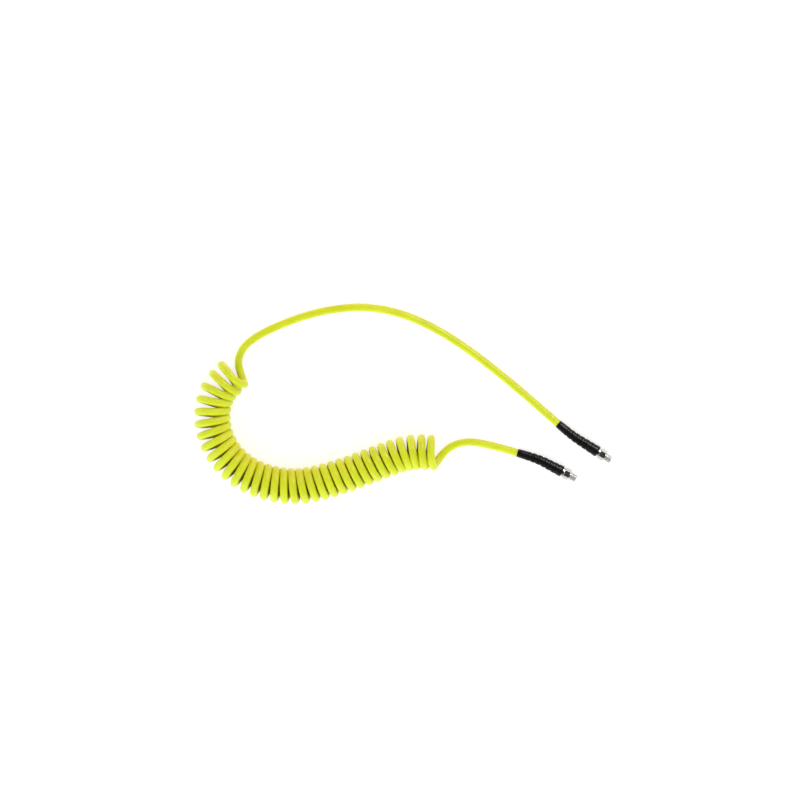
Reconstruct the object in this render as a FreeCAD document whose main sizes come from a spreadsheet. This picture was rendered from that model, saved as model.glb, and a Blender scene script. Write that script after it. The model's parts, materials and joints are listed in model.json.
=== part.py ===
import FreeCAD, Part
import Sketcher
import os
from math import pi, radians, tan, cos
from FreeCAD import Placement, Rotation, Vector

# Coiled polyurethane air hose, 1/4 in bore and 3/8 in outside, with a swivel fitting on each end.
# Millimetres. +Z is up and z = 0 is the surface that the hose lies on. The origin is on that
# surface, at the centre of the box around the two end fittings and their bend restrictors.
#
# Each fitting has its own axis, along +X of its own frame. That frame starts at the inner tip
# of the barbed stem, inside the hose, and runs out to the tip of the thread.

SIZES = {
    # hose and coil
    "hose_radius": 4.7625,
    "hose_bore_radius": 3.175,
    "hose_height": 4.8,
    "coil_radius": 21.96,
    "coil_height": 22.0,
    # barbed stem, by its stations from the inner tip
    "stem_bore_radius": 1.9,
    "barb_crest_radius": 3.15,
    "barb_root_radius": 2.65,
    "barb_pitch": 3.2,
    "neck_start": 13.4,
    "neck_radius": 2.9,
    "hose_end": 14.5,
    "collar_start": 15.2,
    "collar_step": 16.0,
    "collar_step_radius": 5.4,
    "collar_radius": 5.9,
    "collar_end": 19.0,
    "collar_chamfer": 0.4,
    "spigot_radius": 3.5,
    "spigot_end": 27.6,
    # seals, washer and retaining ring
    "rear_seal_station": 20.9,
    "front_seal_station": 23.1,
    "seal_section": 0.45,
    "seal_ring_radius": 3.06,
    "seal_groove_half": 0.6,
    "seal_groove_radius": 2.6,
    "ring_station": 25.6,
    "ring_section": 0.35,
    "ring_radius": 3.75,
    "ring_groove_half": 0.42,
    "ring_groove_radius": 3.3,
    "ring_opening": 35.0,
    "washer_end": 19.4,
    "washer_bore_radius": 3.55,
    "washer_radius": 5.5,
    # swivel connector
    "hex_start": 19.46,
    "hex_end": 26.2,
    "hex_flats": 12.0,
    "hex_bevel": 0.55,
    "socket_radius": 3.53,
    "socket_end": 28.0,
    "socket_ring_radius": 4.16,
    "air_bore_radius": 2.4,
    "thread_radius": 5.1435,
    "thread_start": 27.1,
    "thread_relief_radius": 4.5,
    "thread_end": 35.4,
    "thread_chamfer": 0.8,
    "thread_rear_chamfer": 0.4,
    "bore_overrun": 2.0,
    # ferrule
    "ferrule_start": 0.6,
    "ferrule_radius": 5.45,
    "crimp_radius": 5.2,
    "crimp_start": 3.2,
    "crimp_width": 2.4,
    "crimp_pitch": 4.4,
    "lip_start": 14.5,
    "lip_end": 15.1,
    "lip_clearance": 0.06,
    # bend restrictor, by distances back from its wide end
    "restrictor_length": 60.0,
    "restrictor_bore_radius": 4.81,
    "restrictor_tip_radius": 5.15,
    "restrictor_base_radius": 7.0,
    "restrictor_core_radius": 5.2,
    "restrictor_seat_radius": 6.2,
    "restrictor_seat_length": 18.0,
    "pocket_radius": 5.55,
    "pocket_length": 15.6,
    "cuff_length": 12.0,
    "flange_length": 5.0,
    "rib_width": 2.5,
    "rib_pitch": 3.83,
}
BARBS = 4
BARB_RAMP = 0.85                  # share of a barb's pitch that slopes up to its crest
CRIMPS = 3
CRIMP_EDGE = 0.2                  # share of a crimp's width that each of its sloped sides takes
RIBS = 11
CORNER_SHARE = 0.45               # share of the shorter run that a corner's arc takes
HEX_CORNER = 0.5 / cos(pi / 6)    # a hexagon's corner radius over its size across flats
BEVEL_TAN = tan(radians(30))
ZERO = {}                         # a length of nothing, in the form that terms() reads
LEAST_CUT = 1e-6                  # a groove that removes less volume than this cut nothing

# Axis of the coil, seen from above, from the end where the long tail leaves to the other.
COIL_AXIS = [
    (-402.5, 99.5), (-420.5, 86.0), (-432.0, 70.0), (-437.5, 44.5), (-433.0, 17.0),
    (-421.0, -5.0), (-403.5, -23.0), (-382.5, -35.0), (-356.5, -43.0), (-327.0, -45.0),
    (-294.5, -38.0), (-262.5, -26.5), (-230.5, -14.0), (-202.0, -3.5), (-181.0, -1.0),
    (-157.0, -4.0),
]

# Routes of the two tails. Each starts high on the coil's last turn, folds down to the surface
# and ends at the corner where the hose bends into its fitting.
LONG_TAIL = [
    (-395.0, 83.0, 29.0), (-395.0, 83.0, 14.8), (-399.0, 92.0, 4.8), (-404.5, 110.5, 4.8),
    (-399.5, 125.0, 4.8), (-389.0, 136.5, 4.8), (-366.5, 150.0, 4.8), (-327.0, 166.0, 4.8),
    (-287.0, 176.0, 4.8), (-245.0, 179.0, 4.8), (-200.5, 170.5, 4.8), (-158.5, 151.5, 4.8),
    (-119.0, 126.0, 4.8), (-79.5, 95.5, 4.8), (-42.0, 64.0, 4.8), (6.0, 21.5, 7.0),
]
SHORT_TAIL = [
    (-162.0, -19.0, 29.0), (-162.0, -19.0, 14.8), (-156.0, -10.5, 4.8), (-146.0, 2.5, 4.8),
    (-132.0, 10.0, 4.8), (-114.0, 12.0, 4.8), (-92.0, 7.5, 4.8), (-64.5, 0.0, 4.8),
    (-32.0, -10.0, 7.0),
]

# Each end: its name, its tail's route, the fitting's heading seen from above in degrees, and
# how far the wide end of its bend restrictor is beyond the route's last corner.
ENDS = [
    ("outlet", "hose_long_tail", LONG_TAIL, -32.3, 41.3),
    ("inlet", "hose_short_tail", SHORT_TAIL, -27.5, 32.5),
]

doc = FreeCAD.newDocument("coiled_air_hose")
sheet = doc.addObject("Spreadsheet::Sheet", "Sizes")
for row, (alias, value) in enumerate(SIZES.items(), start=1):
    sheet.set(f"A{row}", alias)
    sheet.set(f"B{row}", str(value))
    sheet.setAlias(f"B{row}", alias)
doc.recompute()

parts = []


def size(alias):
    """One driving dimension, read from the sheet."""
    return float(sheet.get(alias))


def terms(spec):
    """A length as {alias: factor}, the sum of those sizes; a bare alias counts once."""
    return {spec: 1.0} if isinstance(spec, str) else spec


def value_of(spec):
    return sum(factor * size(alias) for alias, factor in terms(spec).items())


def formula_of(spec):
    return " + ".join(f"{factor!r} * Sizes.{alias}" for alias, factor in terms(spec).items()) or "0"


def keep(obj, label):
    """Mark an object as a finished sub-part with its own name."""
    obj.Label = label
    parts.append(obj)
    return obj


# ---------------------------------------------------------------- bodies made from sketches

def new_body(name):
    return doc.addObject("PartDesign::Body", name)


def origin_plane(body, role):
    return next(plane for plane in body.Origin.OriginFeatures if plane.Role == role)


def outline(body, name, role, corners):
    """A closed outline on an origin plane, each corner tied to cells of the sheet."""
    sketch = body.newObject("Sketcher::SketchObject", name)
    sketch.AttachmentSupport = [(origin_plane(body, role), "")]
    sketch.MapMode = "FlatFace"
    spots = [Vector(value_of(across), value_of(up), 0) for across, up in corners]
    for index, spot in enumerate(spots):
        sketch.addGeometry(Part.LineSegment(spot, spots[(index + 1) % len(spots)]), False)
    for index in range(len(spots)):
        after = (index + 1) % len(spots)
        sketch.addConstraint(Sketcher.Constraint("Coincident", index, 2, after, 1))
    for index, (across, up) in enumerate(corners):
        for kind, spec in (("DistanceX", across), ("DistanceY", up)):
            rule = Sketcher.Constraint(kind, -1, 1, index, 1, value_of(spec))
            number = sketch.addConstraint(rule)
            sketch.setExpression(f"Constraints[{number}]", formula_of(spec))
    return sketch


def turn_feature(body, kind, name, corners):
    """A revolution or groove of an outline about the body's own X axis."""
    sketch = outline(body, name + "_outline", "XY_Plane", corners)
    feature = body.newObject(kind, name)
    feature.Profile = sketch
    feature.ReferenceAxis = (sketch, ["H_Axis"])
    feature.Angle = 360
    doc.recompute()
    return feature


def turned_body(name, corners):
    body = new_body(name)
    turn_feature(body, "PartDesign::Revolution", name + "_turned", corners)
    return body


def cut_round(body, name, corners):
    """Turn away material, and stop if the groove removed nothing."""
    before = body.Shape.Volume
    turn_feature(body, "PartDesign::Groove", name, corners)
    if body.Shape.Volume >= before - LEAST_CUT:
        raise RuntimeError(f"{name} removed nothing")


def groove_corners(station, half, depth_radius, top_radius):
    """The four corners of a square groove, in the order that a profile meets them."""
    near = {station: 1.0, half: -1.0}
    far = {station: 1.0, half: 1.0}
    return [(near, top_radius), (near, depth_radius), (far, depth_radius), (far, top_radius)]


def barbed_stem(name):
    """Brass insert: barbs inside the hose, a neck for the ferrule's lip, a collar and a spigot."""
    profile = [(ZERO, "stem_bore_radius")]
    for index in range(BARBS):
        profile.append(({"barb_pitch": float(index)}, "barb_root_radius"))
        profile.append(({"barb_pitch": index + BARB_RAMP}, "barb_crest_radius"))
        profile.append(({"barb_pitch": index + 1.0}, "barb_crest_radius"))
    profile += [
        ({"barb_pitch": float(BARBS)}, "neck_radius"),
        ("collar_start", "neck_radius"),
        ("collar_start", "collar_step_radius"),
        ("collar_step", "collar_step_radius"),
        ("collar_step", {"collar_radius": 1.0, "collar_chamfer": -1.0}),
        ({"collar_step": 1.0, "collar_chamfer": 1.0}, "collar_radius"),
        ({"collar_end": 1.0, "collar_chamfer": -1.0}, "collar_radius"),
        ("collar_end", {"collar_radius": 1.0, "collar_chamfer": -1.0}),
        ("collar_end", "spigot_radius"),
    ]
    for station in ("rear_seal_station", "front_seal_station"):
        profile += groove_corners(station, "seal_groove_half", "seal_groove_radius", "spigot_radius")
    profile += groove_corners("ring_station", "ring_groove_half", "ring_groove_radius",
                              "spigot_radius")
    profile += [
        ({"spigot_end": 1.0, "collar_chamfer": -1.0}, "spigot_radius"),
        ("spigot_end", {"spigot_radius": 1.0, "collar_chamfer": -1.0}),
        ("spigot_end", "stem_bore_radius"),
    ]
    return turned_body(name, profile)


def ferrule(name):
    """Crimped sleeve over the hose end, with a lip hooked into the stem's neck."""
    profile = [
        ("ferrule_start", "hose_radius"),
        ("ferrule_start", "ferrule_radius"),
    ]
    for index in range(CRIMPS):
        start = {"crimp_start": 1.0, "crimp_pitch": float(index)}
        sides = [(0.0, "ferrule_radius"), (CRIMP_EDGE, "crimp_radius"),
                 (1.0 - CRIMP_EDGE, "crimp_radius"), (1.0, "ferrule_radius")]
        for share, radius in sides:
            profile.append((dict(start, crimp_width=share), radius))
    profile += [
        ("lip_end", "ferrule_radius"),
        ("lip_end", {"neck_radius": 1.0, "lip_clearance": 1.0}),
        ("lip_start", {"neck_radius": 1.0, "lip_clearance": 1.0}),
        ("lip_start", "hose_radius"),
    ]
    return turned_body(name, profile)


def thrust_washer(name):
    return turned_body(name, [
        ("collar_end", "washer_bore_radius"),
        ("collar_end", "washer_radius"),
        ("washer_end", "washer_radius"),
        ("washer_end", "washer_bore_radius"),
    ])


def swivel_connector(name):
    """Hexagon with a male pipe thread in front, bored to turn on the stem's spigot."""
    body = new_body(name)
    corners = [
        ({"hex_flats": HEX_CORNER * across}, {"hex_flats": 0.5 * up})
        for across, up in ((1, 0), (0.5, 1), (-0.5, 1), (-1, 0), (-0.5, -1), (0.5, -1))
    ]
    sketch = outline(body, name + "_hexagon", "YZ_Plane", corners)
    sketch.setExpression("AttachmentOffset.Base.z", "Sizes.hex_start")
    pad = body.newObject("PartDesign::Pad", name + "_hex")
    pad.Profile = sketch
    pad.setExpression("Length", "Sizes.hex_end - Sizes.hex_start")
    doc.recompute()
    turn_feature(body, "PartDesign::Revolution", name + "_thread", [
        ("hex_end", "air_bore_radius"),
        ("hex_end", "thread_relief_radius"),
        ({"thread_start": 1.0, "thread_rear_chamfer": -1.0}, "thread_relief_radius"),
        ("thread_start", "thread_radius"),
        ({"thread_end": 1.0, "thread_chamfer": -1.0}, "thread_radius"),
        ("thread_end", {"thread_radius": 1.0, "thread_chamfer": -1.0}),
        ("thread_end", "air_bore_radius"),
    ])
    for side, face, way in (("rear", "hex_start", 1.0), ("front", "hex_end", -1.0)):
        cut_round(body, f"{name}_{side}_bevel", [
            (face, {"hex_flats": HEX_CORNER, "hex_bevel": -1.0}),
            (face, {"hex_flats": HEX_CORNER, "hex_bevel": 1.0}),
            ({face: 1.0, "hex_bevel": 2.0 * BEVEL_TAN * way},
             {"hex_flats": HEX_CORNER, "hex_bevel": 1.0}),
        ])
    cut_round(body, name + "_bore", [
        ({"hex_start": 1.0, "bore_overrun": -1.0}, ZERO),
        ({"hex_start": 1.0, "bore_overrun": -1.0}, "socket_radius"),
        *groove_corners("ring_station", "ring_groove_half", "socket_ring_radius",
                        "socket_radius"),
        ("socket_end", "socket_radius"),
        ("socket_end", "air_bore_radius"),
        ({"thread_end": 1.0, "bore_overrun": 1.0}, "air_bore_radius"),
        ({"thread_end": 1.0, "bore_overrun": 1.0}, ZERO),
    ])
    return body


# ---------------------------------------------------------------- primitives and booleans

def section_circle(name, wire, alias):
    """A circle of a stated radius, square to the start of a path."""
    edge = wire.OrderedEdges[0]
    circle = doc.addObject("Part::Circle", name)
    circle.setExpression("Radius", f"Sizes.{alias}")
    way = edge.tangentAt(edge.FirstParameter)
    circle.Placement = Placement(edge.valueAt(edge.FirstParameter), Rotation(Vector(0, 0, 1), way))
    return circle


def swept(name, wire, alias):
    """A round bar along a path."""
    spine = doc.addObject("Part::Feature", name + "_path")
    spine.Shape = wire
    sweep = doc.addObject("Part::Sweep", name)
    sweep.Sections = [section_circle(name + "_section", wire, alias)]
    sweep.Spine = (spine, [f"Edge{number + 1}" for number in range(len(wire.Edges))])
    sweep.Solid = True
    sweep.Frenet = False
    return sweep


def cut(name, base, tool):
    result = doc.addObject("Part::Cut", name)
    result.Base = base
    result.Tool = tool
    return result


def fused(name, shapes):
    result = doc.addObject("Part::MultiFuse", name)
    result.Shapes = shapes
    return result


def ring(name, station, ring_alias, section_alias, opening=None):
    """A round-section ring about the fitting's axis, whole or with an opening."""
    torus = doc.addObject("Part::Torus", name)
    torus.setExpression("Radius1", f"Sizes.{ring_alias}")
    torus.setExpression("Radius2", f"Sizes.{section_alias}")
    if opening:
        torus.setExpression("Angle3", f"360 - Sizes.{opening}")
    place = Placement(Vector(size(station), 0, 0), Rotation(Vector(0, 0, 1), Vector(1, 0, 0)))
    torus.Placement = place
    return torus


# ---------------------------------------------------------------- paths

def unit(vector):
    return vector / vector.Length


def corner_arc(before, corner, after, tangent):
    """The arc that rounds one corner, its two ends and its radius."""
    into = unit(corner - before)
    out = unit(after - corner)
    half = into.getAngle(out) / 2
    radius = tangent / tan(half)
    start = corner - into * tangent
    end = corner + out * tangent
    middle = corner + unit(out - into) * radius * (1 / cos(half) - 1)
    return Part.Arc(start, middle, end).toShape(), start, end, radius


def rounded_path(name, points):
    """Straight runs joined by tangent arcs, each as large as its two runs allow."""
    edges = []
    radii = []
    here = points[0]
    for before, corner, after in zip(points, points[1:], points[2:]):
        tangent = CORNER_SHARE * min((corner - before).Length, (after - corner).Length)
        arc, start, end, radius = corner_arc(before, corner, after, tangent)
        edges += [Part.LineSegment(here, start).toShape(), arc]
        radii.append(radius)
        here = end
    edges.append(Part.LineSegment(here, points[-1]).toShape())
    wire = Part.Wire(edges)
    print(f"{name}: length {wire.Length:.1f}, radii " + " ".join(f"{r:.0f}" for r in radii))
    return wire


def point_back(edges, distance):
    """The point and direction at a distance back from the end of a chain of edges."""
    for edge in reversed(edges):
        if distance <= edge.Length:
            spot = edge.getParameterByLength(edge.Length - distance)
            return edge.valueAt(spot), edge.tangentAt(spot)
        distance -= edge.Length
    raise RuntimeError("the distance is longer than the path")


def bend_path(points, corner, end, length):
    """The last stretch of a tail's path, of a given length, carried on to the wide end."""
    before, hose_end = points[-3], points[-1]
    tangent = CORNER_SHARE * min((corner - before).Length, (hose_end - corner).Length)
    arc, start, stop, _ = corner_arc(before, corner, hose_end, tangent)
    straight = (end - stop).Length
    lead = length - arc.Length - straight
    origin = start - unit(corner - before) * lead
    return [Part.LineSegment(origin, start).toShape(), arc, Part.LineSegment(stop, end).toShape()]


# ---------------------------------------------------------------- hose and bend restrictors

def tail_tube(name, wire):
    tube = cut(name, swept(name + "_outside", wire, "hose_radius"),
               swept(name + "_bore", wire, "hose_bore_radius"))
    doc.recompute()
    area = pi * (size("hose_radius") ** 2 - size("hose_bore_radius") ** 2)
    print(f"{name}: volume {tube.Shape.Volume:.0f}, section times length {area * wire.Length:.0f}")
    return tube


def coil_solid(name):
    """The outer shape of the whole coil: one thick bar along its bent axis."""
    points = [Vector(x, y, size("coil_height")) for x, y in COIL_AXIS]
    wire = rounded_path(name, points)
    bar = swept(name, wire, "coil_radius")
    doc.recompute()
    area = pi * size("coil_radius") ** 2
    print(f"{name}: volume {bar.Shape.Volume:.0f}, section times length {area * wire.Length:.0f}")
    return bar


def last_straight(edges, distance):
    """The straight stretch over a distance back from the end of a chain of edges."""
    start, _ = point_back(edges, distance)
    return Part.Wire([Part.LineSegment(start, edges[-1].valueAt(edges[-1].LastParameter)).toShape()])


def rib(name, back, width):
    """One ring of the bend restrictor, from a distance back over its width, on the taper."""
    cone = doc.addObject("Part::Cone", name)
    grow = "(Sizes.restrictor_base_radius - Sizes.restrictor_tip_radius) / Sizes.restrictor_length"
    for prop, place in (("Radius1", back), ("Radius2", f"({back} - {width})")):
        cone.setExpression(prop, f"Sizes.restrictor_base_radius - {grow} * {place}")
    cone.setExpression("Height", width)
    return cone


def place_rib(cone, edges, back):
    spot, way = point_back(edges, back)
    cone.Placement = Placement(spot, Rotation(Vector(0, 0, 1), way))


def bend_restrictor(name, edges):
    """Ribbed rubber sleeve that keeps the hose from kinking where it enters the fitting."""
    whole = Part.Wire(edges)
    seat = last_straight(edges, size("restrictor_seat_length"))
    pocket = last_straight(edges, size("pocket_length"))
    solids = [
        swept(name + "_core", whole, "restrictor_core_radius"),
        swept(name + "_seat", seat, "restrictor_seat_radius"),
    ]
    rings = [("cuff", size("restrictor_length"), "Sizes.restrictor_length", "Sizes.cuff_length"),
             ("flange", size("flange_length"), "Sizes.flange_length", "Sizes.flange_length")]
    for index in range(RIBS):
        back = size("flange_length") + (index + 1) * size("rib_pitch")
        rule = f"(Sizes.flange_length + {index + 1} * Sizes.rib_pitch)"
        rings.append((f"rib_{index + 1}", back, rule, "Sizes.rib_width"))
    for label, back, rule, width in rings:
        cone = rib(f"{name}_{label}", rule, width)
        place_rib(cone, edges, back)
        solids.append(cone)
    hole = fused(name + "_hole", [
        swept(name + "_hose_bore", whole, "restrictor_bore_radius"),
        swept(name + "_pocket", pocket, "pocket_radius"),
    ])
    return cut(name, fused(name + "_outside", solids), hole)


# ---------------------------------------------------------------- assembly

def fitting(end, place):
    """The pieces that share one fitting's axis, all placed together."""
    pieces = [
        (ferrule(f"{end}_ferrule"), f"{end}_ferrule"),
        (barbed_stem(f"{end}_stem"), f"{end}_barbed_stem"),
        (ring(f"{end}_rear_seal", "rear_seal_station", "seal_ring_radius", "seal_section"),
         f"{end}_rear_o_ring"),
        (ring(f"{end}_front_seal", "front_seal_station", "seal_ring_radius", "seal_section"),
         f"{end}_front_o_ring"),
        (ring(f"{end}_snap", "ring_station", "ring_radius", "ring_section", "ring_opening"),
         f"{end}_retaining_ring"),
        (thrust_washer(f"{end}_washer"), f"{end}_thrust_washer"),
        (swivel_connector(f"{end}_connector"), f"{end}_swivel_connector"),
    ]
    for piece, label in pieces:
        piece.Placement = place.multiply(piece.Placement)
        keep(piece, label)


def build_end(end, tail, route, heading, reach):
    """One end of the hose: its tail, its bend restrictor and its fitting."""
    points = [Vector(*spot) for spot in route]
    corner = points[-1]
    turn = Rotation(Vector(0, 0, 1), heading)
    way = turn.multVec(Vector(1, 0, 0))
    wide_end = corner + way * reach
    datum = wide_end - way * size("collar_step")
    points.append(datum + way * size("hose_end"))
    wire = rounded_path(tail, points)
    keep(tail_tube(tail, wire), tail)
    edges = bend_path(points, corner, wide_end, size("restrictor_length"))
    keep(bend_restrictor(f"{end}_restrictor", edges), f"{end}_bend_restrictor")
    fitting(end, Placement(datum, turn))
    middle = datum + way * (size("thread_start") + size("thread_end") - size("thread_chamfer")) / 2
    print(f"{end} thread: middle {tuple(round(v, 3) for v in middle)}, axis {tuple(way)}")


def check_and_write():
    """Stop on any failed object, then write one STEP file per sub-part."""
    doc.recompute()
    for obj in doc.Objects:
        if "Invalid" in obj.State or "Error" in obj.State:
            raise RuntimeError(f"{obj.Label} failed: {obj.State}")
    os.makedirs("parts", exist_ok=True)
    for part in parts:
        shape = part.Shape
        if shape.isNull() or not shape.isValid() or len(shape.Solids) != 1:
            raise RuntimeError(f"{part.Label} isn't one valid solid")
        shape.exportStep(f"parts/{part.Label}.step")
        print(f"{part.Label}: volume {shape.Volume:.1f} mm3")


keep(coil_solid("hose_coil"), "hose_coil")
for one_end in ENDS:
    build_end(*one_end)
check_and_write()
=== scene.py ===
import json
from bisect import bisect_right
from math import ceil, cos, floor, pi, radians, sin, tan, tau

import bmesh
import bpy
from mathutils import Matrix, Vector


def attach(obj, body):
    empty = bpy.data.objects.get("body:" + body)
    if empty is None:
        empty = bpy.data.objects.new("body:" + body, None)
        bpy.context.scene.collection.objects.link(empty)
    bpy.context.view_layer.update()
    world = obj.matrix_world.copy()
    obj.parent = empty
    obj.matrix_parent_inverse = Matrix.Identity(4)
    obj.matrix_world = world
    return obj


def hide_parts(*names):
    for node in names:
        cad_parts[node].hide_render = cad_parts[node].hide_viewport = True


# Coiled polyurethane air hose, in metres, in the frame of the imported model: +Z is up and z = 0 is
# the surface that the hose lies on.

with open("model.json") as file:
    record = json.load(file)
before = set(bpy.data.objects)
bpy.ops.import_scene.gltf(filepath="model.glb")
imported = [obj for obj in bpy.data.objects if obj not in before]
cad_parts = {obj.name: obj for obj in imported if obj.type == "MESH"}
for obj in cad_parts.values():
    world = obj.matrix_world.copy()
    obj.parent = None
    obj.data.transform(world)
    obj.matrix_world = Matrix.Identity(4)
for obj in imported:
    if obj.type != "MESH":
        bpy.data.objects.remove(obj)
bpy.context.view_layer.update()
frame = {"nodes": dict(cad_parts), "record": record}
MM = 0.001
UP = Vector((0, 0, 1))

# ---------------------------------------------------------------- the hose's route

HOSE_DIAMETER = 0.009525
ORDER = 3

# Axis of the coil, from the end where the long tail leaves to the other.
COIL_HEIGHT = 0.0220
COIL_AXIS = [
    (-0.4020, 0.0989), (-0.4198, 0.0853), (-0.4310, 0.0696), (-0.4363, 0.0445),
    (-0.4318, 0.0174), (-0.4201, -0.0043), (-0.4028, -0.0220), (-0.3820, -0.0338),
    (-0.3562, -0.0418), (-0.3271, -0.0438), (-0.2948, -0.0370), (-0.2626, -0.0265),
    (-0.2305, -0.0140), (-0.2020, -0.0034), (-0.1810, 0.0001), (-0.1570, -0.0024),
]
AXIS_START = 0.0050               # the coil's first turn starts this far along the axis
AXIS_END = 0.0035                 # and its last turn ends this far before the axis does

TURNS = 33.5
POINTS_PER_TURN = 16
TURN_RADIUS = 0.01717
START_WIDENING = 0.0010           # how much further the first turns reach sideways than upwards
END_WIDENING = 0.0002             # and the last turns
LOOSE_TURNS = 3.0                 # turns at the start that have sprung open
LOOSENESS = 0.0020                # and how much further out the first of them reaches
SPLINE_SHRINK = 0.981             # radius of the spline's turns over that of its control points
FOLD_POINTS = 2                   # points at each end of the coil that the tails' routes supply
OPENING = 0.082                   # how much wider apart the first turns lie than the last
MIDDLE_CLOSING = 0.064            # and how much closer the middle turns lie than both
START_LEAN = 0.0030               # how far the tops of the first turns lean along the axis
END_LEAN = -0.0020                # and those of the last turns

# Routes of the tails, from high on the coil's end turns to the last bend before the fitting.
LONG_TAIL = [
    (-0.3950, 0.0830, 0.0290), (-0.3950, 0.0830, 0.0148), (-0.3990, 0.0920, 0.0048),
    (-0.4045, 0.1105, 0.0048), (-0.3995, 0.1250, 0.0048), (-0.3890, 0.1365, 0.0048),
    (-0.3665, 0.1500, 0.0048), (-0.3270, 0.1660, 0.0048), (-0.2870, 0.1760, 0.0048),
    (-0.2450, 0.1790, 0.0048), (-0.2005, 0.1705, 0.0048), (-0.1585, 0.1515, 0.0048),
    (-0.1190, 0.1260, 0.0048), (-0.0795, 0.0955, 0.0048), (-0.0420, 0.0640, 0.0048),
    (0.0060, 0.0215, 0.0070),
]
SHORT_TAIL = [
    (-0.1620, -0.0190, 0.0290), (-0.1620, -0.0190, 0.0148), (-0.1560, -0.0105, 0.0048),
    (-0.1460, 0.0025, 0.0048), (-0.1320, 0.0100, 0.0048), (-0.1140, 0.0120, 0.0048),
    (-0.0920, 0.0075, 0.0048), (-0.0645, 0.0002, 0.0048), (-0.0320, -0.0100, 0.0070),
]

# Stations along a fitting's axis, from the inner tip of its stem.
FERRULE_START = -0.0010           # the hose runs straight from here to its end
HOSE_END = 0.0145
WIDE_END = 0.0160
HEX_START = 0.01946
HEX_END = 0.0262
THREAD_START = 0.0271
THREAD_END = 0.0354
THREAD_MIDDLE = 0.03085
SOCKET_END = 0.0280


class Fitting:
    """One end's fitting: its axis, and the places along it."""

    def __init__(self, end):
        mount = next(m for m in frame["record"]["mounts"] if m["name"] == f"{end}_thread")
        self.end = end
        self.way = Vector(mount["axis"]).normalized()
        self.datum = Vector(mount["pos_m"]) - self.way * THREAD_MIDDLE

    def at(self, station):
        return self.datum + self.way * station

    def matrix(self):
        """Places a piece made along +X, from the inner tip of the stem."""
        side = UP.cross(self.way)
        turn = Matrix((self.way, side, UP)).transposed().to_4x4()
        return Matrix.Translation(self.datum) @ turn


# ---------------------------------------------------------------- lines

def nurbs(name, points):
    """A curve of one open NURBS spline with these control points."""
    curve = bpy.data.curves.new(name, "CURVE")
    curve.dimensions = "3D"
    spline = curve.splines.new("NURBS")
    spline.points.add(len(points) - 1)
    for control, point in zip(spline.points, points):
        control.co = (*point, 1.0)
    spline.order_u = ORDER
    spline.use_endpoint_u = True
    piece = bpy.data.objects.new(name, curve)
    bpy.context.scene.collection.objects.link(piece)
    return piece


def line_of(curve_object, resolution):
    """Points along a curve that has no bevel."""
    curve_object.data.resolution_u = resolution
    mesh = bpy.data.meshes.new_from_object(curve_object)
    points = [vertex.co.copy() for vertex in mesh.vertices]
    bpy.data.meshes.remove(mesh)
    return points


class Line:
    """Points in a row, looked up by distance along them."""

    def __init__(self, points):
        self.points = points
        self.reached = [0.0]
        for here, there in zip(points, points[1:]):
            self.reached.append(self.reached[-1] + (there - here).length)
        self.length = self.reached[-1]

    def at(self, distance):
        distance = min(max(distance, 0.0), self.length)
        index = min(bisect_right(self.reached, distance), len(self.points) - 1)
        low, high = self.reached[index - 1], self.reached[index]
        return self.points[index - 1].lerp(self.points[index], (distance - low) / (high - low))

    def way(self, distance, reach):
        """The direction over a short stretch about a distance."""
        low, high = max(distance - reach, 0.0), min(distance + reach, self.length)
        return (self.at(high) - self.at(low)).normalized()


# ---------------------------------------------------------------- the hose

AXIS_RESOLUTION = 32
HOSE_RESOLUTION = 6
HOSE_BEVEL_RESOLUTION = 7         # which gives four times this plus four sides
WAY_REACH = 0.003                 # half the stretch over which a line's direction is taken


def coil_points():
    """Control points of the coil's turns, a right-handed helix about its bent axis."""
    axis_curve = nurbs("coil_axis", [(x, y, COIL_HEIGHT) for x, y in COIL_AXIS])
    axis = Line(line_of(axis_curve, AXIS_RESOLUTION))
    bpy.data.objects.remove(axis_curve)
    run = axis.length - AXIS_START - AXIS_END
    count = round(TURNS * POINTS_PER_TURN)
    points = []
    for index in range(FOLD_POINTS, count - FOLD_POINTS + 1):
        share = index / count
        angle = tau * index / POINTS_PER_TURN
        spread = OPENING + MIDDLE_CLOSING * (1 - 2 * share)
        spot = AXIS_START + run * (share + spread * share * (1 - share))
        way = axis.way(spot, WAY_REACH)
        lean = START_LEAN * (1 - share) ** 3 + END_LEAN * share ** 3
        loose = LOOSENESS * max(1 - share * TURNS / LOOSE_TURNS, 0.0) * max(-cos(angle), 0.0)
        widening = START_WIDENING + (END_WIDENING - START_WIDENING) * share + loose
        sideways = UP.cross(way) * cos(angle) * (TURN_RADIUS + widening)
        out = (sideways + UP * sin(angle) * TURN_RADIUS) / SPLINE_SHRINK
        points.append(axis.at(spot) + out + way * lean * sin(angle))
    return points


def make_hose(outlet, inlet):
    """The whole hose as one line, from the outlet fitting to the inlet fitting."""
    points = [outlet.at(HOSE_END), outlet.at(FERRULE_START)]
    points += [Vector(spot) for spot in reversed(LONG_TAIL)]
    points += coil_points()
    points += [Vector(spot) for spot in SHORT_TAIL]
    points += [inlet.at(FERRULE_START), inlet.at(HOSE_END)]
    hose = nurbs("hose", points)
    line = line_of(hose, HOSE_RESOLUTION)
    hose.data.bevel_depth = HOSE_DIAMETER / 2
    hose.data.bevel_resolution = HOSE_BEVEL_RESOLUTION
    hose.data.use_fill_caps = True
    return hose, line


# ---------------------------------------------------------------- meshes of rings

WELD_DISTANCE = 1e-7


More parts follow.
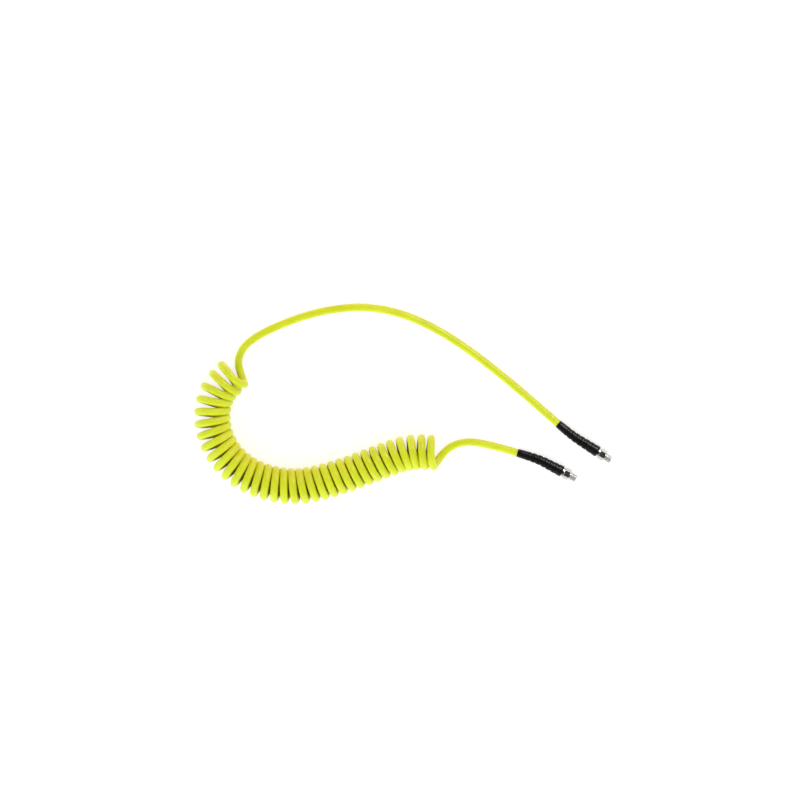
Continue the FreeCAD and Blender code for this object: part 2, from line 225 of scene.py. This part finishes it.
def skin(name, rings):
    """A mesh over rings of points, each with the same count, joined one to the next. The last ring
    repeats the first, so that welding them closes the mesh."""
    sides = len(rings[0])
    mesh = bmesh.new()
    rows = [[mesh.verts.new(point) for point in ring] for ring in rings]
    for row, after in zip(rows, rows[1:]):
        for index in range(sides):
            following = (index + 1) % sides
            mesh.faces.new((row[index], row[following], after[following], after[index]))
    bmesh.ops.recalc_face_normals(mesh, faces=mesh.faces)
    data = bpy.data.meshes.new(name)
    mesh.to_mesh(data)
    mesh.free()
    piece = bpy.data.objects.new(name, data)
    bpy.context.scene.collection.objects.link(piece)
    return piece


def weld(piece):
    """Joins the points that lie on each other."""
    mesh = bmesh.new()
    mesh.from_mesh(piece.data)
    bmesh.ops.remove_doubles(mesh, verts=mesh.verts, dist=WELD_DISTANCE)
    bmesh.ops.recalc_face_normals(mesh, faces=mesh.faces)
    mesh.to_mesh(piece.data)
    mesh.free()


def smooth(piece, degrees):
    """Smooth shading, with edges sharper than an angle kept crisp."""
    piece.data.shade_smooth()
    piece.data.set_sharp_from_angle(angle=radians(degrees))


# ---------------------------------------------------------------- bend restrictors

RESTRICTOR_LENGTH = 0.0600
TIP_RADIUS = 0.00515
BASE_RADIUS = 0.00700
BORE_RADIUS = 0.00480             # around the hose
FERRULE_BORE = 0.00560            # around the ferrule
FERRULE_SPAN = 0.0156             # length of that wider bore
BORE_STEP = 0.0001                # half the length of the step between the two
BORE_RINGS = 12
CUFF_LENGTH = 0.0120
FLANGE_LENGTH = 0.0050
SLOTS = 12
SLOT_WIDTH = 0.00150
SLOT_EDGE = 0.00030               # width over which a slot's wall falls to its floor
SLOT_DEPTH = 0.00080
SLOT_FADE = 0.0200                # distance from the wide end over which the slots get deeper
SLOT_LEAST = 0.60                 # depth of the slot nearest the wide end, as a share
SLOT_HALF_ANGLE = radians(66)
SLOT_CORNER = radians(7)          # angle over which a slot's end rises
SLOT_PITCH = (RESTRICTOR_LENGTH - CUFF_LENGTH - FLANGE_LENGTH) / SLOTS
EDGE_STEPS = (-0.5, -0.17, 0.17, 0.5)   # where rings lie across a slot's edge
RIM = 0.00035                     # rounding of the two end rims
RIM_SHARE = 0.6                   # how far a rim's edge is drawn in, as a share of RIM
LEAST_WALL = 0.00012              # rubber left under the deepest slot
AROUND = 96                       # points around
RESTRICTOR_CREASE = 40            # degrees from which an edge stays crisp


def ease(value):
    """A smooth step from 0 to 1."""
    value = min(max(value, 0.0), 1.0)
    return value * value * (3 - 2 * value)


def slot_share(back, angle):
    """How deep a point lies in a slot, from 0 outside to 1. Slots come in pairs, one each side,
    and each pair is turned a quarter from the one before."""
    index = floor((back - FLANGE_LENGTH) / SLOT_PITCH)
    if not 0 <= index < SLOTS:
        return 0.0
    from_middle = abs(back - FLANGE_LENGTH - (index + 0.5) * SLOT_PITCH)
    along = ease((SLOT_WIDTH / 2 + SLOT_EDGE / 2 - from_middle) / SLOT_EDGE)
    turned = (angle - (index % 2) * pi / 2) % pi
    from_side = min(turned, pi - turned)
    round_about = ease((SLOT_HALF_ANGLE - from_side) / SLOT_CORNER)
    return along * round_about


def restrictor_stations():
    """Distances back from the wide end: dense at the rims and at the slots' edges."""
    stations = {0.0, RIM / 3, RIM, RESTRICTOR_LENGTH - RIM, RESTRICTOR_LENGTH - RIM / 3}
    stations |= {RESTRICTOR_LENGTH, FLANGE_LENGTH / 2, RESTRICTOR_LENGTH - CUFF_LENGTH / 2}
    for index in range(SLOTS + 1):
        stations.add(FLANGE_LENGTH + index * SLOT_PITCH)
    for index in range(SLOTS):
        middle = FLANGE_LENGTH + (index + 0.5) * SLOT_PITCH
        stations.add(middle)
        for side in (-1, 1):
            for step in EDGE_STEPS:
                stations.add(middle + side * (SLOT_WIDTH / 2 + step * SLOT_EDGE))
    return sorted(stations)


def restrictor_radius(back, angle):
    taper = BASE_RADIUS + (TIP_RADIUS - BASE_RADIUS) * back / RESTRICTOR_LENGTH
    from_rim = min(back, RESTRICTOR_LENGTH - back)
    rounding = RIM * (1 - ease(from_rim / RIM))
    depth = SLOT_DEPTH * (SLOT_LEAST + (1 - SLOT_LEAST) * ease(back / SLOT_FADE))
    depth = min(depth, taper - LEAST_WALL - BORE_RADIUS)
    return taper - rounding * RIM_SHARE - depth * slot_share(back, angle)


def make_restrictor(fitting, line):
    """Ribbed rubber sleeve around the hose, following it where it bends."""
    path = Line([fitting.at(WIDE_END)] + line)

    def ring(back, radius_at):
        way = path.way(back, WAY_REACH)
        side = way.cross(UP).normalized()
        top = side.cross(way)
        middle = path.at(back)
        angles = [tau * index / AROUND for index in range(AROUND)]
        return [middle + (side * cos(a) + top * sin(a)) * radius_at(back, a) for a in angles]

    def bore(back, angle):
        return BORE_RADIUS if back > FERRULE_SPAN else FERRULE_BORE

    outside = [ring(back, restrictor_radius) for back in restrictor_stations()]
    narrow = FERRULE_SPAN + BORE_STEP
    span_of_ring = (RESTRICTOR_LENGTH - narrow) / BORE_RINGS
    inner = [0.0, FERRULE_SPAN - BORE_STEP]
    inner += [narrow + step * span_of_ring for step in range(BORE_RINGS + 1)]
    inside = [ring(back, bore) for back in inner]
    rings = outside + list(reversed(inside))
    piece = skin(f"{fitting.end}_restrictor_sleeve", rings + [outside[0]])
    weld(piece)
    smooth(piece, RESTRICTOR_CREASE)
    return piece


# ---------------------------------------------------------------- swivel connectors

HEX_FLATS = 0.0120
HEX_BEVEL = radians(30)
BEVEL_START = 0.00635             # radius at which the hexagon's end faces turn into the bevel
BEVEL_STEPS = (0.0, 0.00006, 0.00012, 0.0002, 0.0003, 0.0004)   # rings across the bevel
HEX_ROWS = 6                      # rows along the hexagon's flats
BORE_OF_AIR = 0.0024
MOUTH_CHAMFER = 0.0003            # where the air bore opens
SOCKET_RADIUS = 0.00353
GROOVE_START = 0.02518            # groove in the socket for the retaining ring
GROOVE_END = 0.02602
GROOVE_RADIUS = 0.00416
RELIEF_RADIUS = 0.0045
RELIEF_GAP = 0.0002               # length between the relief and the first row of the thread
THREAD_RADIUS = 0.0051435
THREAD_PITCH = 25.4 * MM / 27
THREAD_DEPTH = 0.8 * THREAD_PITCH
THREAD_TAPER = 1 / 32             # fall in radius along the thread
THREAD_FLAT = 0.08                # share of a pitch that is flat at a full crest, and at a root
THREAD_FIRST = 0.2                # share of its depth that the thread starts with
THREAD_RISE = 0.6                 # pitches in which it would rise by its whole depth
CREST_CUT = 0.0003                # how far inside THREAD_RADIUS the crests are cut off level
END_CHAMFER = 0.0008              # length of the chamfer at the thread's end
THREAD_ROWS = 12                  # rows per pitch
TURNED = 72                       # points around
CONNECTOR_CREASE = 28             # degrees from which an edge stays crisp


def hex_radius(angle):
    """Distance from the axis to a hexagon with a flat on top."""
    within = (angle + pi / 6) % (pi / 3) - pi / 6
    return HEX_FLATS / 2 / cos(within)


def hex_profile(station, angle):
    from_face = min(station - HEX_START, HEX_END - station)
    cone = BEVEL_START + from_face / tan(HEX_BEVEL)
    return min(hex_radius(angle), cone)


def thread_profile(station, angle):
    """Right-handed thread with tapered roots, and crests that are cut off level."""
    crest = THREAD_RADIUS - (station - THREAD_START) * THREAD_TAPER
    phase = (station / THREAD_PITCH - angle / tau) % 1.0
    away = abs(phase - 0.5) * 2
    depth = THREAD_DEPTH * min(max((away - THREAD_FLAT) / (1 - 2 * THREAD_FLAT), 0.0), 1.0)
    lead = min((station - THREAD_START) / (THREAD_RISE * THREAD_PITCH) + THREAD_FIRST, 1.0)
    chamfer = max(station - (THREAD_END - END_CHAMFER), 0.0)
    return min(crest - depth * lead, THREAD_RADIUS - CREST_CUT - chamfer)


def make_connector(fitting):
    """Hexagon and pipe thread in one turned piece, bored through."""
    angles = [tau * index / TURNED for index in range(TURNED)]

    def ring(station, radius):
        spots = []
        for angle in angles:
            reach = radius(station, angle) if callable(radius) else radius
            spots.append(Vector((station, reach * sin(angle), reach * cos(angle))))
        return spots

    hex_length = HEX_END - HEX_START
    hex_stations = [HEX_START + step for step in BEVEL_STEPS]
    hex_stations += [HEX_START + hex_length * row / HEX_ROWS for row in range(1, HEX_ROWS)]
    hex_stations += [HEX_END - step for step in reversed(BEVEL_STEPS)]
    thread_length = THREAD_END - THREAD_START
    rows = ceil(thread_length / THREAD_PITCH * THREAD_ROWS)
    thread_stations = [THREAD_START + thread_length * row / rows for row in range(rows + 1)]
    rings = [ring(HEX_START, SOCKET_RADIUS)]
    rings += [ring(station, hex_profile) for station in hex_stations]
    rings += [ring(HEX_END, RELIEF_RADIUS), ring(THREAD_START - RELIEF_GAP, RELIEF_RADIUS)]
    rings += [ring(station, thread_profile) for station in thread_stations]
    rings.append(ring(THREAD_END, BORE_OF_AIR + MOUTH_CHAMFER))
    rings.append(ring(THREAD_END - MOUTH_CHAMFER, BORE_OF_AIR))
    rings += [ring(SOCKET_END, BORE_OF_AIR), ring(SOCKET_END, SOCKET_RADIUS)]
    rings += [ring(GROOVE_END, SOCKET_RADIUS), ring(GROOVE_END, GROOVE_RADIUS)]
    rings += [ring(GROOVE_START, GROOVE_RADIUS), ring(GROOVE_START, SOCKET_RADIUS)]
    piece = skin(f"{fitting.end}_connector", rings + [rings[0]])
    weld(piece)
    least_reach = RELIEF_RADIUS - THREAD_DEPTH
    for face in piece.data.polygons:
        in_length = THREAD_START < face.center[0] < THREAD_END
        on_thread = in_length and Vector(face.center[1:]).length > least_reach
        face.material_index = 1 if on_thread else 0
    piece.data.transform(fitting.matrix())
    smooth(piece, CONNECTOR_CREASE)
    return piece


# ---------------------------------------------------------------- materials

CREVICE_REACH = 0.040             # reach of the openness behind the painted shade and glow: nearly the coil's height, so its own turns close it in
OPENNESS_SAMPLES = 16
CLOSED = 0.08                     # openness at which a low surface has its full painted shade
OPEN = 0.46                       # and at which it is untouched
LOW = 0.009                       # height up to which closed-in surfaces get painted shade
HIGH = 0.020                      # and from which none does
# painted shade: the olive that closed-in low surfaces between the turns are painted
PAINTED_SHADE_OLIVE = (0.070, 0.092, 0.002)
CROWDED = 0.14                    # openness at which the hose has its full painted amber glow
CLEAR = 0.62                      # and at which it has none
# painted light: the amber glow painted where the turns crowd together
PAINTED_GLOW_AMBER = (0.96, 0.84, 0.022)
SLOT_REACH = 0.0016               # about a slot's width
SLOT_SHADE = 0.72                 # openness up to which a slot's rubber is dull
SLOT_FREE = 0.94                  # and from which the rubber has its own gloss
DULL_RUBBER = 0.95                # roughness of that dull rubber

NOISE_LOW = 0.3                   # noise up to which a property has its first value
NOISE_HIGH = 0.7                  # and from which it has its second
FINE_DETAIL = 2.0                 # detail of the noises that only raise bumps

# Each noise's scale, which is about how many features a metre holds.
HOSE_CLOUDS, HOSE_MOTTLE, HOSE_SKIN = 38.0, 220.0, 900.0
RUBBER_TONE, RUBBER_WEAR, RUBBER_GRAIN = 120.0, 260.0, 2600.0
METAL_TONE, METAL_POLISH, METAL_MARKS = 180.0, 700.0, 3000.0
DULL_TONE, DULL_GLOSS, DULL_GRAIN = 300.0, 900.0, 4000.0

# Each bump's strength and height.
HOSE_BUMP = (0.06, 0.0003)
RUBBER_BUMP = (0.12, 0.0001)
DULL_BUMP = (0.05, 0.00005)
METAL_BUMP_HEIGHT = 0.00005

HOSE_DARK, HOSE_LIGHT = (0.72, 0.82, 0.020), (0.78, 0.90, 0.036)
RUBBER_DARK, RUBBER_LIGHT = (0.0050, 0.0050, 0.0058), (0.0095, 0.0095, 0.0105)
RUBBER_IOR = 1.40
SCATTER_SHARE = 0.65              # share of the hose's light that scatters under its skin
SCATTER_REACH = 0.0048            # how far it travels there
SCATTER_COLOUR = (1.0, 0.9, 0.1)  # and how much of that way each colour goes


def node_material(name):
    """A material with its shader, ready for more nodes."""
    material = bpy.data.materials.new(name)
    material.use_nodes = True
    tree = material.node_tree
    return material, tree, tree.nodes["Principled BSDF"]


def place_nodes(tree):
    """Where a point of the surface lies, in the object's own axes."""
    return tree.nodes.new("ShaderNodeTexCoord").outputs["Object"]


def noise(tree, place, scale, detail=3.0):
    node = tree.nodes.new("ShaderNodeTexNoise")
    tree.links.new(place, node.inputs["Vector"])
    node.inputs["Scale"].default_value = scale
    node.inputs["Detail"].default_value = detail
    return node.outputs["Fac"]


def ramp(tree, value, stops):
    """A colour that goes from one stop's to the other's."""
    node = tree.nodes.new("ShaderNodeValToRGB")
    for element, (place, colour) in zip(node.color_ramp.elements, stops):
        element.position = place
        element.color = (*colour, 1.0)
    tree.links.new(value, node.inputs["Fac"])
    return node.outputs["Color"]


def step_between(tree, value, low, high):
    """0 up to low, 1 from high, and a smooth step between them."""
    node = tree.nodes.new("ShaderNodeMapRange")
    node.interpolation_type = "SMOOTHSTEP"
    node.inputs["From Min"].default_value = low
    node.inputs["From Max"].default_value = high
    tree.links.new(value, node.inputs["Value"])
    return node.outputs["Result"]


def openness(tree, reach):
    """How much of the view from the surface is free out to a distance, from 0 to 1."""
    shade = tree.nodes.new("ShaderNodeAmbientOcclusion")
    shade.samples = OPENNESS_SAMPLES
    shade.inputs["Distance"].default_value = reach
    return shade.outputs["AO"]


def tint_to(tree, colour, share, tint):
    """A colour that gives way to a fixed tint as its share falls from 1 to 0."""
    mixed = tree.nodes.new("ShaderNodeMix")
    mixed.data_type = "RGBA"
    mixed.inputs["A"].default_value = (*tint, 1.0)
    tree.links.new(colour, mixed.inputs["B"])
    tree.links.new(share, mixed.inputs["Factor"])
    return mixed.outputs["Result"]


def painted_glow_and_shade(tree, place, colour):
    """A colour with painted light and shade: a painted amber glow where the coil's turns crowd
    together, and painted olive shade on closed-in low surfaces deep between them.
    """
    apart = tree.nodes.new("ShaderNodeSeparateXYZ")
    tree.links.new(place, apart.inputs["Vector"])
    free = openness(tree, CREVICE_REACH)
    # share left free of painted shade: open enough, or high enough
    lit = tree.nodes.new("ShaderNodeMath")
    lit.operation = "MAXIMUM"
    tree.links.new(step_between(tree, free, CLOSED, OPEN), lit.inputs[0])
    tree.links.new(step_between(tree, apart.outputs["Z"], LOW, HIGH), lit.inputs[1])
    # painted amber glow where the turns crowd together
    colour = tint_to(tree, colour, step_between(tree, free, CROWDED, CLEAR), PAINTED_GLOW_AMBER)
    # painted olive shade on closed-in surfaces low between the turns
    return tint_to(tree, colour, lit.outputs["Value"], PAINTED_SHADE_OLIVE)


def shades(tree, value, dark, light):
    """A colour between two, following a noise."""
    return ramp(tree, value, [(NOISE_LOW, dark), (NOISE_HIGH, light)])


def span(tree, value, low, high):
    """A number between two, following a noise."""
    node = tree.nodes.new("ShaderNodeMapRange")
    tree.links.new(value, node.inputs["Value"])
    node.inputs["From Min"].default_value = NOISE_LOW
    node.inputs["From Max"].default_value = NOISE_HIGH
    node.inputs["To Min"].default_value = low
    node.inputs["To Max"].default_value = high
    return node.outputs["Result"]


def bump(tree, shader, height, strength, distance):
    node = tree.nodes.new("ShaderNodeBump")
    node.inputs["Strength"].default_value = strength
    node.inputs["Distance"].default_value = distance
    tree.links.new(height, node.inputs["Height"])
    tree.links.new(node.outputs["Normal"], shader.inputs["Normal"])


def polyurethane():
    """Satin yellow-green tube: faint cloudiness, a mottled gloss, a moulded skin, and a painted
    amber glow and painted olive shade between its turns.
    """
    material, tree, shader = node_material("hose_polyurethane")
    place = place_nodes(tree)
    colour = shades(tree, noise(tree, place, HOSE_CLOUDS), HOSE_DARK, HOSE_LIGHT)
    # painted light and shade between the coil's turns
    colour = painted_glow_and_shade(tree, place, colour)
    tree.links.new(colour, shader.inputs["Base Color"])
    roughness = span(tree, noise(tree, place, HOSE_MOTTLE), low=0.30, high=0.44)
    tree.links.new(roughness, shader.inputs["Roughness"])
    shader.inputs["Subsurface Weight"].default_value = SCATTER_SHARE
    shader.inputs["Subsurface Radius"].default_value = SCATTER_COLOUR
    shader.inputs["Subsurface Scale"].default_value = SCATTER_REACH
    bump(tree, shader, noise(tree, place, HOSE_SKIN, FINE_DETAIL), *HOSE_BUMP)
    return material


def black_rubber():
    """Moulded black elastomer with a fine grain and slightly shinier worn patches."""
    material, tree, shader = node_material("restrictor_rubber")
    place = place_nodes(tree)
    colour = shades(tree, noise(tree, place, RUBBER_TONE), RUBBER_DARK, RUBBER_LIGHT)
    tree.links.new(colour, shader.inputs["Base Color"])
    gloss = tree.nodes.new("ShaderNodeMix")
    gloss.data_type = "FLOAT"
    free = openness(tree, SLOT_REACH)
    tree.links.new(step_between(tree, free, SLOT_SHADE, SLOT_FREE), gloss.inputs["Factor"])
    gloss.inputs["A"].default_value = DULL_RUBBER
    roughness = span(tree, noise(tree, place, RUBBER_WEAR), low=0.22, high=0.32)
    tree.links.new(roughness, gloss.inputs["B"])
    tree.links.new(gloss.outputs["Result"], shader.inputs["Roughness"])
    shader.inputs["IOR"].default_value = RUBBER_IOR
    bump(tree, shader, noise(tree, place, RUBBER_GRAIN, FINE_DETAIL), *RUBBER_BUMP)
    return material


def metal(name, dark, light, low, high, strength=0.05, metallic=1.0):
    """A turned or drawn metal: uneven tone, uneven polish and fine tool marks."""
    material, tree, shader = node_material(name)
    place = place_nodes(tree)
    colour = shades(tree, noise(tree, place, METAL_TONE), dark, light)
    tree.links.new(colour, shader.inputs["Base Color"])
    roughness = span(tree, noise(tree, place, METAL_POLISH), low, high)
    tree.links.new(roughness, shader.inputs["Roughness"])
    shader.inputs["Metallic"].default_value = metallic
    bump(tree, shader, noise(tree, place, METAL_MARKS, FINE_DETAIL), strength, METAL_BUMP_HEIGHT)
    return material


def dull(name, dark, light, low, high):
    """A soft or plastic part: even tone with a fine grain."""
    material, tree, shader = node_material(name)
    place = place_nodes(tree)
    colour = shades(tree, noise(tree, place, DULL_TONE), dark, light)
    tree.links.new(colour, shader.inputs["Base Color"])
    roughness = span(tree, noise(tree, place, DULL_GLOSS), low, high)
    tree.links.new(roughness, shader.inputs["Roughness"])
    bump(tree, shader, noise(tree, place, DULL_GRAIN, FINE_DETAIL), *DULL_BUMP)
    return material


def all_materials():
    """Each finish, with its darkest and lightest tone and its least and greatest roughness."""
    return {
        "hose_polyurethane": polyurethane(),
        "restrictor_rubber": black_rubber(),
        "nickel_plated_brass": metal("nickel_plated_brass", (0.60, 0.60, 0.59),
                                     (0.65, 0.65, 0.64), 0.20, 0.30),
        "thread_flanks": metal("thread_flanks", (0.80, 0.80, 0.79), (0.86, 0.86, 0.85), 0.36, 0.48,
                               metallic=0.72),
        "ferrule_aluminium": metal("ferrule_aluminium", (0.70, 0.70, 0.71),
                                   (0.80, 0.80, 0.81), 0.28, 0.42, strength=0.10),
        "spring_steel": metal("spring_steel", (0.42, 0.42, 0.43), (0.55, 0.55, 0.56), 0.2, 0.35),
        "seal_rubber": dull("seal_rubber", (0.020, 0.020, 0.020), (0.034, 0.034, 0.034), 0.4, 0.55),
        "washer_plastic": dull("washer_plastic", (0.82, 0.82, 0.80), (0.90, 0.90, 0.88), 0.4, 0.55),
    }


def dress(piece, *materials):
    """Gives a piece these materials in place of its own. With more than one, its faces keep the
    numbers that say which is theirs."""
    several = len(materials) > 1
    numbers = [face.material_index for face in piece.data.polygons] if several else []
    piece.data.materials.clear()
    for material in materials:
        piece.data.materials.append(material)
    for index, number in enumerate(numbers):
        piece.data.polygons[index].material_index = number


# ---------------------------------------------------------------- studio

CAMERA_HEIGHT = 9.0
SENSOR = 0.036
PICTURE_WIDTH = 0.9896            # how much of the surface the picture is wide
PICTURE_MIDDLE = Vector((-0.2035, 0.0634, 0.0))
FLOOR_HALF = 6.0
AIM = Vector((-0.2, 0.0, 0.0))
FLOOR_PAINT = (0.50, 0.50, 0.50)
FLOOR_ROUGHNESS = 0.9
FLOOR_GLOW = 0.72                 # the floor is a lit table, so shadows on it stay faint
WALLS = (0.95, 0.95, 0.95)
CEILING = (0.05, 0.05, 0.05)
FLAGS = (0.03, 0.03, 0.03)        # black flags overhead, seen only in reflections
FLAGGED_WALLS = (0.60, 0.60, 0.60)
FAR_WALL = (0.42, 0.42, 0.42)     # how bright the far wall is beside the near one
FAR_SIDE = (0.35, 0.94, 0.0)      # the way to it
FAR_FADE = (0.15, 0.75)           # how squarely a direction faces it, where it starts and is full
CEILING_FADE = (0.66, 0.86)       # steepness at which the walls end, and the ceiling starts
FLAGS_FADE = (0.30, 0.62)         # and the same for the flags
NEUTRAL = (1.0, 1.0, 1.0)
AMBER = (1.0, 0.50, 0.13)


def make_floor():
    half = FLOOR_HALF
    corners = [(-half, -half, 0), (half, -half, 0), (half, half, 0), (-half, half, 0)]
    data = bpy.data.meshes.new("floor")
    data.from_pydata(corners, [], [(0, 1, 2, 3)])
    floor = bpy.data.objects.new("floor", data)
    bpy.context.scene.collection.objects.link(floor)
    material, _, shader = node_material("floor_white")
    shader.inputs["Base Color"].default_value = (*FLOOR_PAINT, 1.0)
    shader.inputs["Roughness"].default_value = FLOOR_ROUGHNESS
    shader.inputs["Emission Color"].default_value = (*NEUTRAL, 1.0)
    shader.inputs["Emission Strength"].default_value = FLOOR_GLOW
    dress(floor, material)


def make_light(name, place, width, power, colour, in_gloss=False, in_shade=True):
    """A round soft light aimed at the object, kept out of reflections unless in_gloss. Without
    in_shade it leaves matt surfaces unlit."""
    data = bpy.data.lights.new(name, "AREA")
    data.shape = "DISK"
    data.size = width
    data.energy = power
    data.color = colour
    light = bpy.data.objects.new(name, data)
    light.location = place
    light.rotation_euler = (AIM - Vector(place)).to_track_quat("-Z", "Y").to_euler()
    light.visible_glossy = in_gloss
    light.visible_diffuse = in_shade
    bpy.context.scene.collection.objects.link(light)


def make_world():
    """Light walls and a dark ceiling. Reflections see black flags overhead in their place."""
    world = bpy.data.worlds.new("studio")
    world.use_nodes = True
    tree = world.node_tree
    direction = tree.nodes.new("ShaderNodeTexCoord").outputs["Generated"]
    apart = tree.nodes.new("ShaderNodeSeparateXYZ")
    tree.links.new(direction, apart.inputs["Vector"])
    walls = ramp(tree, apart.outputs["Z"], zip(CEILING_FADE, (WALLS, CEILING)))
    facing = tree.nodes.new("ShaderNodeVectorMath")
    facing.operation = "DOT_PRODUCT"
    facing.inputs[1].default_value = FAR_SIDE
    tree.links.new(direction, facing.inputs[0])
    side = ramp(tree, facing.outputs["Value"], zip(FAR_FADE, (NEUTRAL, FAR_WALL)))
    both = tree.nodes.new("ShaderNodeMix")
    both.data_type = "RGBA"
    both.blend_type = "MULTIPLY"
    both.inputs["Factor"].default_value = 1.0
    tree.links.new(walls, both.inputs["A"])
    tree.links.new(side, both.inputs["B"])
    mirrored = ramp(tree, apart.outputs["Z"], zip(FLAGS_FADE, (FLAGGED_WALLS, FLAGS)))
    seen = tree.nodes.new("ShaderNodeMix")
    seen.data_type = "RGBA"
    rays = tree.nodes.new("ShaderNodeLightPath")
    tree.links.new(rays.outputs["Is Glossy Ray"], seen.inputs["Factor"])
    tree.links.new(both.outputs["Result"], seen.inputs["A"])
    tree.links.new(mirrored, seen.inputs["B"])
    background = tree.nodes["Background"]
    tree.links.new(seen.outputs["Result"], background.inputs["Color"])
    background.inputs["Strength"].default_value = 1.0
    bpy.context.scene.world = world


def make_camera():
    data = bpy.data.cameras.new("camera")
    data.sensor_width = SENSOR / MM
    data.lens = SENSOR / MM * CAMERA_HEIGHT / PICTURE_WIDTH
    camera = bpy.data.objects.new("camera", data)
    camera.location = PICTURE_MIDDLE + Vector((0, 0, CAMERA_HEIGHT))
    bpy.context.scene.collection.objects.link(camera)
    bpy.context.scene.camera = camera


# ---------------------------------------------------------------- assembly

def assemble():
    materials = all_materials()
    outlet, inlet = Fitting("outlet"), Fitting("inlet")
    hose, line = make_hose(outlet, inlet)
    dress(hose, materials["hose_polyurethane"])
    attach(hose, "hose_assembly")
    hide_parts("hose_long_tail", "hose_coil", "hose_short_tail")
    for fitting, near_line in ((outlet, line), (inlet, line[::-1])):
        sleeve = make_restrictor(fitting, near_line)
        dress(sleeve, materials["restrictor_rubber"])
        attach(sleeve, "hose_assembly")
        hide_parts(f"{fitting.end}_bend_restrictor")
        connector = make_connector(fitting)
        dress(connector, materials["nickel_plated_brass"], materials["thread_flanks"])
        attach(connector, f"{fitting.end}_connector")
        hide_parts(f"{fitting.end}_swivel_connector")
    outlet.at(HOSE_END)
    for part in frame["record"]["subparts"]:
        dress(frame["nodes"][part["node"]], materials[part["material_slot"]])


bpy.context.scene.view_settings.view_transform = "Standard"
assemble()
make_floor()
make_world()
make_light("top_soft", place=(-0.4, -1.0, 4.0), width=2.6, power=52.0, colour=NEUTRAL)
make_light("near_soft", place=(-0.6, -2.8, 2.0), width=2.0, power=15.0, colour=NEUTRAL)
make_light("far_warm", place=(0.5, 3.0, 0.9), width=1.2, power=36.0, colour=AMBER)
make_light("far_strip", place=(1.1, 2.0, 2.1), width=1.5, power=44.0, colour=NEUTRAL,
           in_gloss=True, in_shade=False)
make_camera()
